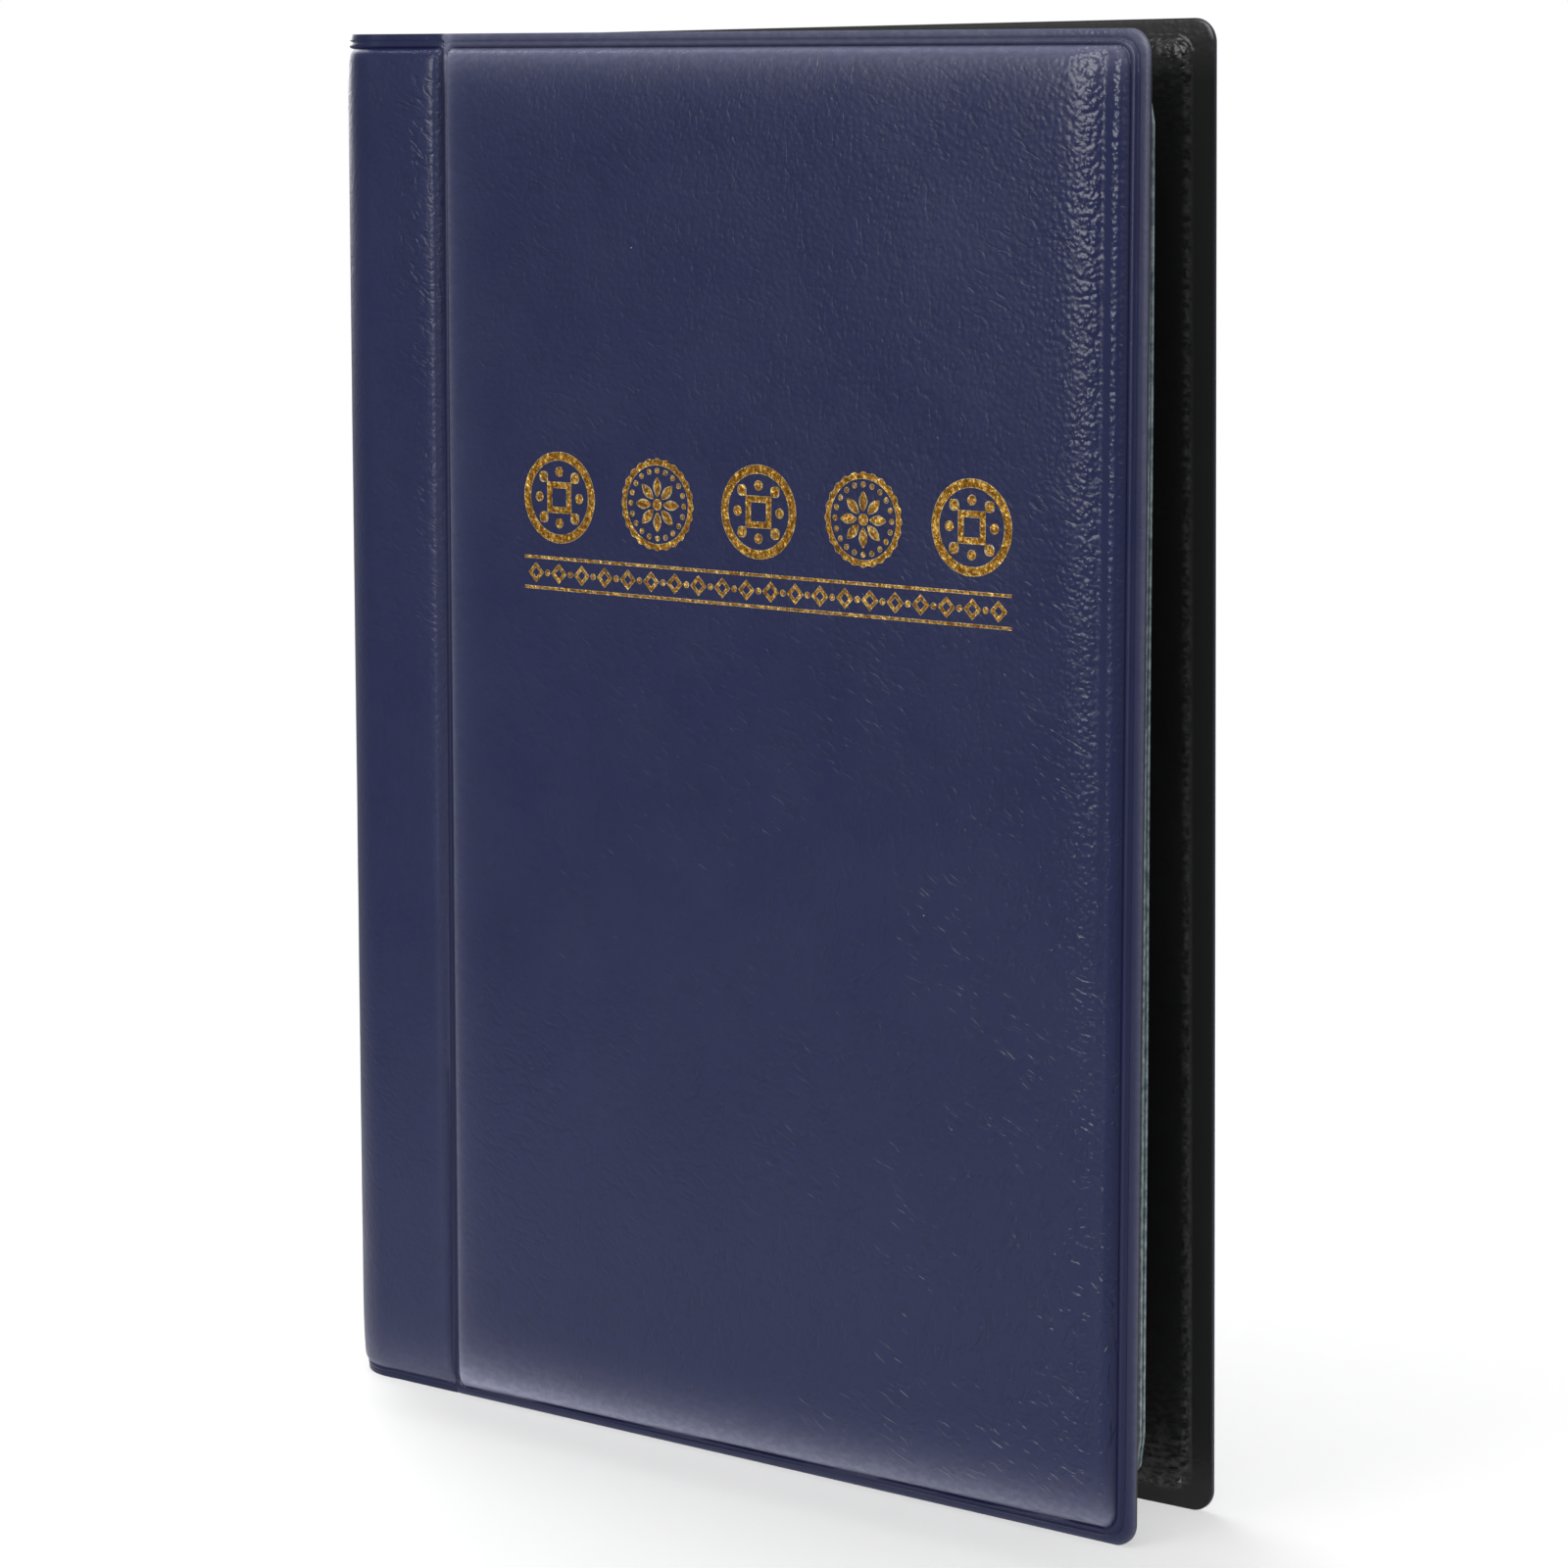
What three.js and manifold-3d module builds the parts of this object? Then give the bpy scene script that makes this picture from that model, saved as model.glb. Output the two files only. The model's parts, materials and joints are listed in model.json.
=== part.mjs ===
// Coin album: a soft welded cover, navy outside and black inside, round ten clear leaves of coin pockets.
//
// The cover is two plastic sheets, an outer skin and an inner lining, welded to each other round the edge and
// along two vertical grooves. The grooves and the two bends of the spine are its living hinges, so the sheets
// are split there into a spine, two bands and two cover panels. Foam lies under the skin everywhere, and each
// cover panel also holds a stiff board. The leaves are fused to a binding block inside the spine.
//
// Millimetres. +X runs from the spine to the fore-edge, +Y from the front cover to the back cover, +Z up.
// The origin is the middle of the footprint, with the album standing on its lower edges.
import * as THREE from "three";
import Module from "manifold-3d";
import { mergeVertices } from "three/addons/utils/BufferGeometryUtils.js";

// Whole album
const HEIGHT = 175;
const WIDTH = 125; // spine to fore-edge
const WELD_RADIUS = 6.625; // bend of the weld line round the spine, and half the distance between the covers

// Sheets. Offsets called "out" and "in" are measured outwards from the weld line.
const SKIN = 0.35;
const LINING = 0.25;
const LAP = 0.025; // half the gap between the two sheets at the weld
const PLAY = 0.05; // gap round a piece that is sealed between the sheets
const FILM_OUT = LAP + SKIN; // outer face of the skin where it is welded
const FILM_IN = LAP + LINING; // inner face of the lining there, as a distance inwards
const COVER_PAD_OUT = 1.875; // outer face of a padded cover panel
const COVER_PAD_IN = -0.925; // its inner face
const BAND_PAD_OUT = 1.575; // outer face of the spine and the bands
const COVER_FOAM = 0.9;

// Weld rims, grooves and corners
const RIM = 1.8; // along the top and the bottom
const FORE_EDGE_RIM = 2.7;
const GROOVE_X = 20; // from the back of the spine to the middle of a groove
const GROOVE = 1.4;
const HINGE_GAP = 0.3; // left open between two bodies at a living hinge
const COVER_CORNER = 3;
const PAD_CORNER = 1.6;
const BOARD_CORNER = 1;
const SHARP_CORNER = 0.4;
const PAD_ROUND = 1; // rounding of the skin's pad edge
const LINING_ROUND = 0.6;

// Leaves
const LEAVES = 10;
const LEAF_PITCH = 0.8;
const FILM = 0.22;
const FILM_GAP = 0.1; // between a leaf's backing film and its pocket film
const FIRST_LEAF_Y = -5.1;
const LEAF_BOTTOM = 5;
const LEAF_HEIGHT = 165;
const LEAF_ROOT = 8.9; // from the back of the spine
const LEAF_FORE_EDGE = 120.5;
const LEAF_CORNER = 4.5;
const COLUMNS = 3;
const ROWS = 4;
const POCKET_WIDTH = 35;
const LEAF_BORDER = 1; // weld outside the pockets
const POCKET_MARGIN = 2; // weld between the binding margin and the first column
const MOUTH_WIDTH = 30; // slit near the top of each pocket
const MOUTH_HEIGHT = 1.2;
const MOUTH_DROP = 4; // from the pocket's top weld to its mouth

// Binding block
const BLOCK_FRONT = 6.3; // from the back of the spine
const BLOCK_HALF_WIDTH = 5.4;

const SPINE_CENTRE_X = WELD_RADIUS + BAND_PAD_OUT;
const QUARTER_BEND = (WELD_RADIUS * Math.PI) / 2; // along the weld line, from the spine's back to a flat side
const BEND_STEPS = 8;
const BEND_SPLIT = QUARTER_BEND / 2; // where the spine ends and a band begins
const GROOVE_AT = QUARTER_BEND + GROOVE_X - SPINE_CENTRE_X; // the groove, along the weld line
const BAND_PAD_END = GROOVE_AT - GROOVE / 2;
const CURVE_STEPS = 4;
const BEVEL_STEPS = 3;
const WELL_CLEAR = 1; // how far a cutter reaches past what it cuts
const HUGE = 400;
const MERGE_WITHIN = 1e-4; // corners closer than this are one

const NAVY = { color: 0x2c3154, roughness: 0.5, metalness: 0 };
const BLACK = { color: 0x151517, roughness: 0.45, metalness: 0 };
const CLEAR = { color: 0xb9c6c8, roughness: 0.25, metalness: 0, transparent: true, opacity: 0.4 };
const FOAM = { color: 0xd9d7cf, roughness: 0.95, metalness: 0 };
const BOARD = { color: 0x9a958b, roughness: 0.9, metalness: 0 };

const wasm = await Module();
wasm.setup();

function toSolid(geometry) {
  const bare = geometry.index ? geometry.toNonIndexed() : geometry.clone();
  bare.deleteAttribute("normal");
  bare.deleteAttribute("uv");
  const merged = mergeVertices(bare, MERGE_WITHIN);
  return new wasm.Manifold(
    new wasm.Mesh({
      numProp: 3,
      vertProperties: new Float32Array(merged.attributes.position.array),
      triVerts: new Uint32Array(merged.index.array),
    }),
  );
}

function toGeometry(solid) {
  const mesh = solid.getMesh();
  const positions = new Float32Array(mesh.numVert * 3);
  for (let i = 0; i < mesh.numVert; i++) {
    const from = i * mesh.numProp;
    positions.set(mesh.vertProperties.subarray(from, from + 3), i * 3);
  }
  const geometry = new THREE.BufferGeometry();
  geometry.setAttribute("position", new THREE.BufferAttribute(positions, 3));
  geometry.setIndex(new THREE.BufferAttribute(new Uint32Array(mesh.triVerts), 1));
  geometry.computeVertexNormals();
  return geometry;
}

function named(name, geometry, look) {
  const mesh = new THREE.Mesh(geometry, new THREE.MeshStandardMaterial({ ...look, name }));
  mesh.name = name;
  return mesh;
}

// A point of the bent cover in plan. "Along" is the distance along the weld line from the back of the spine,
// "out" the offset from it. Side is 1 for the front half and -1 for the back half.
function bent(along, out, side) {
  if (along > QUARTER_BEND) {
    return new THREE.Vector2(SPINE_CENTRE_X + along - QUARTER_BEND, -side * (WELD_RADIUS + out));
  }
  const turn = along / WELD_RADIUS;
  const radius = WELD_RADIUS + out;
  return new THREE.Vector2(SPINE_CENTRE_X - radius * Math.cos(turn), -side * radius * Math.sin(turn));
}

// The places on the bend, strictly between two others, where a strip needs a facet edge.
function bendStations(from, to) {
  const stations = [];
  for (let n = -BEND_STEPS; n <= BEND_STEPS; n++) {
    const station = (n / BEND_STEPS) * QUARTER_BEND;
    if ((station - from) * (station - to) < 0) stations.push(station);
  }
  return from < to ? stations : stations.reverse();
}

// An upright strip of the bent cover, whose outline in plan is a list of [along, out] corners.
function bentStrip(outline, bottom, top, side) {
  const points = [];
  outline.forEach(([along, out], i) => {
    const [nextAlong, nextOut] = outline[(i + 1) % outline.length];
    points.push(bent(along, out, side));
    for (const station of bendStations(along, nextAlong)) {
      const share = (station - along) / (nextAlong - along);
      points.push(bent(station, out + (nextOut - out) * share, side));
    }
  });
  const options = { depth: top - bottom, bevelEnabled: false };
  return new THREE.ExtrudeGeometry(new THREE.Shape(points), options).translate(0, 0, bottom);
}

// The outline of a layer from one place to another, its far end square or sloping in at 45 degrees.
function layerOutline(from, to, inner, outer, sloping) {
  const slope = sloping ? outer - inner : 0;
  return [
    [from, inner],
    [to, inner],
    [to - slope, outer],
    [from, outer],
  ];
}

// The skin of the spine or of a band: a sheet over the foam, stepping down to the weld at its top and bottom,
// and also at the groove if it reaches one. It is open where it meets its neighbours and towards the foam.
function bentSkin(from, to, side, reachesGroove) {
  const rim = layerOutline(from, to, LAP, FILM_OUT, false);
  const padTo = reachesGroove ? BAND_PAD_END + SKIN : to;
  const pad = layerOutline(from, padTo, LAP, BAND_PAD_OUT, reachesGroove);
  const hollowTo = (reachesGroove ? BAND_PAD_END : to) + WELL_CLEAR;
  const hollowFrom = from - WELL_CLEAR;
  const hollow = layerOutline(hollowFrom, hollowTo, LAP - WELL_CLEAR, BAND_PAD_OUT - SKIN, reachesGroove);
  const rimSolid = toSolid(bentStrip(rim, 0, HEIGHT, side));
  const padSolid = toSolid(bentStrip(pad, RIM, HEIGHT - RIM, side));
  const hollowSolid = toSolid(bentStrip(hollow, RIM + SKIN, HEIGHT - RIM - SKIN, side));
  return toGeometry(rimSolid.add(padSolid).subtract(hollowSolid));
}

// Skin, foam and lining of a stretch of the bent cover.
function bentLayers(name, from, to, side, reachesGroove) {
  const foamTo = reachesGroove ? BAND_PAD_END - 2 * PLAY : to;
  const foam = layerOutline(from, foamTo, LAP, BAND_PAD_OUT - SKIN - PLAY, reachesGroove);
  const foamBottom = RIM + SKIN + PLAY;
  const lining = layerOutline(from, to, -FILM_IN, -LAP, false);
  return [
    named(`${name}_skin`, bentSkin(from, to, side, reachesGroove), NAVY),
    named(`${name}_foam`, bentStrip(foam, foamBottom, HEIGHT - foamBottom, side), FOAM),
    named(`${name}_lining`, bentStrip(lining, 0, HEIGHT, side), BLACK),
  ];
}

// A rectangle with one corner radius on the hinge side and another at the fore-edge.
function panelOutline(from, to, bottom, top, hingeCorner, foreCorner) {
  const shape = new THREE.Shape();
  const quarter = Math.PI / 2;
  shape.absarc(to - foreCorner, bottom + foreCorner, foreCorner, -quarter, 0);
  shape.absarc(to - foreCorner, top - foreCorner, foreCorner, 0, quarter);
  shape.absarc(from + hingeCorner, top - hingeCorner, hingeCorner, quarter, 2 * quarter);
  shape.absarc(from + hingeCorner, bottom + hingeCorner, hingeCorner, 2 * quarter, 3 * quarter);
  return shape;
}

// A flat plate between two offsets, in a panel's own frame: X away from the spine, Y up, Z outwards.
// "Round" is the rounding of its outer and inner edges.
function plate(outline, inner, outer, round = 0) {
  const depth = outer - inner - 2 * round;
  const bevel = { bevelEnabled: round > 0, bevelThickness: round, bevelSize: round, bevelOffset: -round };
  const steps = { curveSegments: CURVE_STEPS, bevelSegments: BEVEL_STEPS };
  return new THREE.ExtrudeGeometry(outline, { depth, ...bevel, ...steps }).translate(0, 0, inner + round);
}

// Everything on the outer side of an offset, or on its inner side.
function outside(offset) {
  return toSolid(new THREE.BoxGeometry(HUGE, HUGE, HUGE).translate(0, 0, offset + HUGE / 2));
}

function inside(offset) {
  return toSolid(new THREE.BoxGeometry(HUGE, HUGE, HUGE).translate(0, 0, offset - HUGE / 2));
}

// A plate the size of a cover's padded area, drawn in by "inset".
function padPlate(inset, inner, outer, round, corner = PAD_CORNER - inset) {
  const from = GROOVE_X + GROOVE / 2 + inset;
  const to = WIDTH - FORE_EDGE_RIM - inset;
  const low = RIM + inset;
  return toSolid(plate(panelOutline(from, to, low, HEIGHT - low, corner, corner), inner, outer, round));
}

function coverFilm(inner, outer) {
  const from = GROOVE_X + HINGE_GAP / 2;
  return toSolid(plate(panelOutline(from, WIDTH, 0, HEIGHT, SHARP_CORNER, COVER_CORNER), inner, outer));
}

// The skin of a cover panel: the welded rim and the padded area that rises from it, hollow on the foam side.
function coverSkin() {
  const pad = padPlate(0, LAP - 2 * PAD_ROUND, COVER_PAD_OUT, PAD_ROUND).intersect(outside(LAP));
  const hollow = padPlate(SKIN, LAP - 2 * PAD_ROUND, COVER_PAD_OUT - SKIN, PAD_ROUND - SKIN);
  return coverFilm(LAP, FILM_OUT).add(pad).subtract(hollow);
}

function coverLining() {
  const pad = padPlate(0, COVER_PAD_IN, 2 * LINING_ROUND, LINING_ROUND).intersect(inside(-LAP));
  const hollow = padPlate(LINING, COVER_PAD_IN + LINING, 2 * LINING_ROUND, LINING_ROUND - LINING);
  return coverFilm(-FILM_IN, -LAP).add(pad).subtract(hollow);
}

function coverFoam(inner) {
  const inset = SKIN + PLAY;
  const slab = padPlate(inset, LAP - 2 * PAD_ROUND, COVER_PAD_OUT - inset, PAD_ROUND - inset);
  return slab.intersect(outside(inner));
}

function coverBoard(outer) {
  return padPlate(SKIN + PAD_ROUND, COVER_PAD_IN + LINING + PLAY, outer, 0, BOARD_CORNER);
}

// The four layers of a cover panel, stood up on the front (side 1) or the back (side -1).
function coverLayers(name, side) {
  const foamInner = COVER_PAD_OUT - SKIN - PLAY - COVER_FOAM;
  const layers = [
    [`${name}_skin`, coverSkin(), NAVY],
    [`${name}_foam`, coverFoam(foamInner), FOAM],
    [`${name}_board`, coverBoard(foamInner - PLAY), BOARD],
    [`${name}_lining`, coverLining(), BLACK],
  ];
  return layers.map(([layerName, solid, look]) => {
    const geometry = toGeometry(solid).translate(0, 0, WELD_RADIUS);
    if (side > 0) geometry.rotateX(Math.PI / 2);
    else geometry.rotateX(-Math.PI / 2).translate(0, 0, HEIGHT);
    return named(layerName, geometry, look);
  });
}

// The slits of the pockets, as cutters in a panel's own frame.
function pocketMouths(firstColumn) {
  const rowHeight = (LEAF_HEIGHT - 2 * LEAF_BORDER) / ROWS;
  const mouths = [];
  for (let column = 0; column < COLUMNS; column++) {
    for (let row = 0; row < ROWS; row++) {
      const x = firstColumn + (column + 0.5) * POCKET_WIDTH;
      const y = LEAF_BOTTOM + LEAF_BORDER + (row + 1) * rowHeight - MOUTH_DROP - MOUTH_HEIGHT / 2;
      const slit = new THREE.BoxGeometry(MOUTH_WIDTH, MOUTH_HEIGHT, 2 * WELL_CLEAR);
      mouths.push(toSolid(slit.translate(x, y, 0)));
    }
  }
  return mouths;
}

// One leaf: a backing film, and a film of pockets welded on its front.
function leafFilms(number) {
  const name = `leaf_${String(number).padStart(2, "0")}`;
  const top = LEAF_BOTTOM + LEAF_HEIGHT;
  const firstColumn = LEAF_FORE_EDGE - LEAF_BORDER - COLUMNS * POCKET_WIDTH;
  const backOutline = panelOutline(LEAF_ROOT, LEAF_FORE_EDGE, LEAF_BOTTOM, top, SHARP_CORNER, LEAF_CORNER);
  const pocketRoot = firstColumn - POCKET_MARGIN;
  const pocketOutline = panelOutline(pocketRoot, LEAF_FORE_EDGE, LEAF_BOTTOM, top, SHARP_CORNER, LEAF_CORNER);
  const near = FILM_GAP / 2;
  const pocketSheet = toSolid(plate(pocketOutline, near, near + FILM));
  const pockets = pocketMouths(firstColumn).reduce((sheet, mouth) => sheet.subtract(mouth), pocketSheet);
  const y = FIRST_LEAF_Y + (number - 1) * LEAF_PITCH;
  const upright = (geometry) => geometry.rotateX(Math.PI / 2).translate(0, y, 0);
  return [
    named(`${name}_backing_film`, upright(plate(backOutline, -near - FILM, -near)), CLEAR),
    named(`${name}_pocket_film`, upright(toGeometry(pockets)), CLEAR),
  ];
}

// The block that the leaves are fused to. It lies against the lining of the spine.
function bindingBlock() {
  const radius = WELD_RADIUS - FILM_IN - PLAY;
  const half = Math.asin(BLOCK_HALF_WIDTH / radius);
  const shape = new THREE.Shape();
  shape.absarc(SPINE_CENTRE_X, 0, radius, Math.PI - half, Math.PI + half);
  shape.lineTo(BLOCK_FRONT, -BLOCK_HALF_WIDTH);
  shape.lineTo(BLOCK_FRONT, BLOCK_HALF_WIDTH);
  const options = { depth: LEAF_HEIGHT, bevelEnabled: false, curveSegments: BEND_STEPS };
  const geometry = new THREE.ExtrudeGeometry(shape, options).translate(0, 0, LEAF_BOTTOM);
  return named("binding_block", geometry, BLACK);
}

const album = new THREE.Group();
const splitGap = HINGE_GAP / 2;
const bandFrom = BEND_SPLIT + splitGap;
const bandTo = GROOVE_AT - splitGap;
album.add(...bentLayers("spine", splitGap - BEND_SPLIT, BEND_SPLIT - splitGap, 1, false));
album.add(...bentLayers("front_band", bandFrom, bandTo, 1, true));
album.add(...bentLayers("back_band", bandFrom, bandTo, -1, true));
album.add(...coverLayers("front_cover", 1));
album.add(...coverLayers("back_cover", -1));
album.add(bindingBlock());
for (let number = 1; number <= LEAVES; number++) album.add(...leafFilms(number));
album.position.x = -WIDTH / 2;

export default album;
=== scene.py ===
"""Coin album: padded navy cover, black lining, ten clear leaves and gold foil, built round the CAD frame."""

import json
import math

import bmesh
import bpy
import numpy as np
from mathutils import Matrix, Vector


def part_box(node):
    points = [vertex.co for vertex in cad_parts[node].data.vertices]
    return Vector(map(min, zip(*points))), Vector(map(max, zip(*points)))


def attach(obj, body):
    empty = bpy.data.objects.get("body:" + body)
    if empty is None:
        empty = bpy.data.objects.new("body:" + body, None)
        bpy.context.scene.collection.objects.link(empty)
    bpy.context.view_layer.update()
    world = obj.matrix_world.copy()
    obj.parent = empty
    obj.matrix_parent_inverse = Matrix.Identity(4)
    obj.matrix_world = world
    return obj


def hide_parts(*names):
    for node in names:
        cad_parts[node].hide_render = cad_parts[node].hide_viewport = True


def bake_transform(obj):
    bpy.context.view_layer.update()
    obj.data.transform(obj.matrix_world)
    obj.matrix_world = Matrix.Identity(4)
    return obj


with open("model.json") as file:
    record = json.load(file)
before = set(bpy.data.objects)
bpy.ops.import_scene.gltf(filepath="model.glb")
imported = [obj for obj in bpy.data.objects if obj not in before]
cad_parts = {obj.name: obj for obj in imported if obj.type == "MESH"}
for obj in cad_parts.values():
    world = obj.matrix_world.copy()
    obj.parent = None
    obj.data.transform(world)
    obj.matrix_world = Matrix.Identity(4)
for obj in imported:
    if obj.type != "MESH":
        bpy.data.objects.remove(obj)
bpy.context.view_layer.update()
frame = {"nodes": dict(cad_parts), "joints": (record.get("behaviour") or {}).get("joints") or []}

# Lengths below are millimetres unless a name says otherwise. The frame itself is in metres.
MM = 0.001

# Repeated from the CAD design
WELD_RADIUS = 6.625
SKIN = 0.35
LINING = 0.25
LAP = 0.025
COVER_PAD_OUT = 1.875
COVER_PAD_IN = 0.925
BAND_PAD_OUT = 1.575
RIM = 1.8
FORE_EDGE_RIM = 2.7
COVER_CORNER = 2.8
FILM = 0.22
LEAVES = 10
COLUMNS = 3
ROWS = 4
POCKET_WIDTH = 35.0
LEAF_BORDER = 1.0
LEAF_CORNER = 4.5
MOUTH_WIDTH = 30.0
MOUTH_DROP = 4.0

# The sheets' own relief
FILM_OUT = LAP + SKIN
FILM_IN = LAP + LINING
GROOVE = 1.0
LOW_RIM = 1.2  # rim below the padding at the spine, where it is narrower than at the fore-edge
CREASE = 2.7  # from the fore-edge of a cover's padding to the crease in it
LOW_SPINE_RISE = 0.55  # how much further the rim stands out round the back of the spine, below and above
TOP_SPINE_RISE = 0.95
BACK_SPLAY = 3.5  # how far the back cover's fore-edge stands out at the foot, and up at the top
BACK_LIFT = 1.3
LEAF_DROOP = 0.8  # how far a leaf's top corner hangs back
FOAM_PLAY = 0.05  # between the foam and what it touches
FOAM_MARGIN = 0.9  # from the edge of a padded area to its foam
FAR = 1000.0  # past any edge
SHARP_ANGLE = 50  # degrees, from which a mesh's edges are shaded sharp

# The welded rim's relief. Places are shares of its width, from the edge of the sheet to the padding.
RIM_LINE_PLACE = 0.56
RIM_LINE_DEPTH = 0.16
RIM_LINE_WIDTH = 0.05
RIM_RIDGE_START = 0.62
RIM_RIDGE_END = 0.93
RIM_RIDGE_SLOPE = 0.07
RIM_RIDGE_HEIGHT = 0.12
PAD_LINE_PLACE = 0.99
PAD_LINE_DEPTH = 0.2
EDGE_ROUNDING = 0.12
BAND_RIM_SHARE = 0.6  # the relief of the spine's and bands' rims, as a share of the covers'

# Shoulders of the padding: how much of its height is lost at each side, and how far that reaches
PANEL_SHOULDERS = ((0.24, 2.0), (0.2, 1.0), (0.46, 2.4), (0.4, 2.8))  # groove, fore-edge, bottom, top
BAND_SHOULDERS = ((0.1, 2.0), (0.5, 3.2), (0.3, 2.0))  # groove, bottom, top
LINING_SHOULDERS = ((0.2, 1.6), (0.3, 2.4), (0.2, 1.6))  # fore-edge, bottom, top

# The fore-edge of a cover's padding: its sunken strip, the crease in it and the low ridge outside that.
# ADDED is what a depth gains from the foot to the top of the cover.
FORE_SINK = 0.24
FORE_SINK_ADDED = 0.3
FORE_SINK_REACH = 4.2
CREASE_DEPTH = 0.08
CREASE_DEPTH_ADDED = 0.2
CREASE_WIDTH = 0.8
FORE_RIDGE_PLACE = 1.4
FORE_RIDGE_HEIGHT = 0.1
FORE_RIDGE_WIDTH = 0.5

# The groove: how low the sheet may lie away from it, how far its floor stands over that at the foot, what
# the floor loses towards the top, and the fine line along its middle
GROOVE_CLEAR = 0.5
GROOVE_FILL = 1.2
GROOVE_FILL_LOST = 0.55
GROOVE_WIDTH = 0.8
GROOVE_LINE_DEPTH = 0.07
GROOVE_LINE_WIDTH = 0.3

# Unevenness of the sheets
PANEL_SWELL = 0.022
BAND_SWELL = 0.014
LINING_SWELL = 0.02
LINING_CREASES = 0.012
LINING_GRAIN = 0.005
EDGE_CREASES = 0.03
CORNER_CREASES = 0.02
FINE_RELIEF = 0.003

# The bead on a band beside the groove, by its distance from the padding's end
BEAD_PLACE = 0.35
BEAD_WIDTH = 0.22
BEAD_HEIGHT = 0.1


def corners(node):
    """Lowest and highest corner of a CAD node, in millimetres."""
    low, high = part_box(node)
    return np.array(low) / MM, np.array(high) / MM


def joint_point(name):
    joint = next(j for j in frame["joints"] if j["name"] == name)
    return np.array(joint["pos_m"]) / MM


SPINE_BACK = corners("spine_skin")[0][0]
FORE_EDGE = corners("front_cover_skin")[1][0]
HEIGHT = corners("front_cover_skin")[1][2]
GROOVE_X = joint_point("front_cover_hinge")[0]
SPINE_CENTRE = SPINE_BACK + WELD_RADIUS + BAND_PAD_OUT
QUARTER_BEND = WELD_RADIUS * math.pi / 2
BAND_PAD_END = GROOVE_X - GROOVE / 2
MID_BAND = (SPINE_CENTRE + BAND_PAD_END) / 2
PAD_X0 = GROOVE_X + GROOVE / 2
PAD_X1 = FORE_EDGE - FORE_EDGE_RIM
SIDES = (("front", 1), ("back", -1))


# ---------------- mesh helpers


def stations(start, stop, details, fine=0.2, coarse=1.3, growth=0.3, reach=0.6):
    """Places from start to stop, closely spaced near the details and coarser away from them."""
    places = [start]
    while places[-1] < stop:
        away = min(abs(places[-1] - d) for d in details)
        places.append(places[-1] + min(coarse, fine + growth * max(away - reach, 0)))
    places = np.array(places)
    return start + (places - start) * (stop - start) / (places[-1] - start)


def grid_shell(name, outer, inner, material, keep=None, marks=None):
    """A closed sheet between two grids of points in millimetres. Cells outside keep are left out.
    Marks are named numbers for each point of the grid, which the material reads."""
    n, m = outer.shape[:2]
    keep = np.ones((n - 1, m - 1), bool) if keep is None else keep
    ids = np.arange(n * m).reshape(n, m)
    a, b, c, d = ids[:-1, :-1], ids[1:, :-1], ids[1:, 1:], ids[:-1, 1:]
    under = n * m
    ringed = np.pad(keep, 1)
    faces = [np.stack([a, b, c, d], -1)[keep], np.stack([d, c, b, a], -1)[keep] + under]
    for start, stop, neighbour in (
        (a, d, ringed[:-2, 1:-1]),
        (c, b, ringed[2:, 1:-1]),
        (b, a, ringed[1:-1, :-2]),
        (d, c, ringed[1:-1, 2:]),
    ):
        open_side = keep & ~neighbour
        start, stop = start[open_side], stop[open_side]
        faces.append(np.stack([start, stop, stop + under, start + under], -1))
    points = np.concatenate([outer.reshape(-1, 3), inner.reshape(-1, 3)]) * MM
    both = {key: np.concatenate([value.ravel(), value.ravel()]) for key, value in (marks or {}).items()}
    return mesh_object(name, points, np.concatenate(faces), material, both)


def mesh_object(name, points, faces, material, marks):
    """A piece from points in metres and faces of four."""
    used, faces = np.unique(faces, return_inverse=True)
    mesh = bpy.data.meshes.new(name)
    mesh.from_pydata(points[used].tolist(), [], faces.reshape(-1, 4).tolist())
    for key, values in marks.items():
        mesh.attributes.new(key, "FLOAT", "POINT").data.foreach_set("value", values[used].astype(np.float32))
    work = bmesh.new()
    work.from_mesh(mesh)
    bmesh.ops.recalc_face_normals(work, faces=work.faces)
    work.to_mesh(mesh)
    work.free()
    mesh.shade_smooth()
    mesh.set_sharp_from_angle(angle=math.radians(SHARP_ANGLE))
    mesh.materials.append(material)
    piece = bpy.data.objects.new(name, mesh)
    bpy.context.scene.collection.objects.link(piece)
    return piece


def waves(seed, count, longest, shortest, stretch=1.0):
    """A smooth repeatable noise of two coordinates, about -1 to 1. Stretch draws it out along the first."""
    random = np.random.default_rng(seed)
    angles = random.uniform(0, 2 * math.pi, count)
    lengths = shortest * (longest / shortest) ** random.uniform(0, 1, count)
    phases = random.uniform(0, 2 * math.pi, count)
    weights = (lengths / longest) ** 0.5
    weights = weights / np.sqrt((weights**2).sum() / 2)

    def noise(x, z):
        total = np.zeros(np.broadcast(x, z).shape)
        for angle, length, phase, weight in zip(angles, lengths, phases, weights):
            along = x * math.cos(angle) / stretch + z * math.sin(angle)
            total = total + weight * np.sin(2 * math.pi * along / length + phase)
        return total / 2

    return noise


def inside_distance(x, z, x0, x1, z0, z1, radius):
    """How far a point is inside a rounded rectangle; negative outside it."""
    qx = np.abs(x - (x0 + x1) / 2) - (x1 - x0) / 2 + radius
    qz = np.abs(z - (z0 + z1) / 2) - (z1 - z0) / 2 + radius
    beyond = np.hypot(np.maximum(qx, 0), np.maximum(qz, 0))
    return radius - np.minimum(np.maximum(qx, qz), 0) - beyond


def dent(distance, width):
    """1 at a line, fading to both sides."""
    return np.exp(-((distance / width) ** 2))


def smooth_step(value, low, high):
    """0 below low to 1 above high."""
    t = np.clip((value - low) / (high - low), 0, 1)
    return t * t * (3 - 2 * t)


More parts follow.
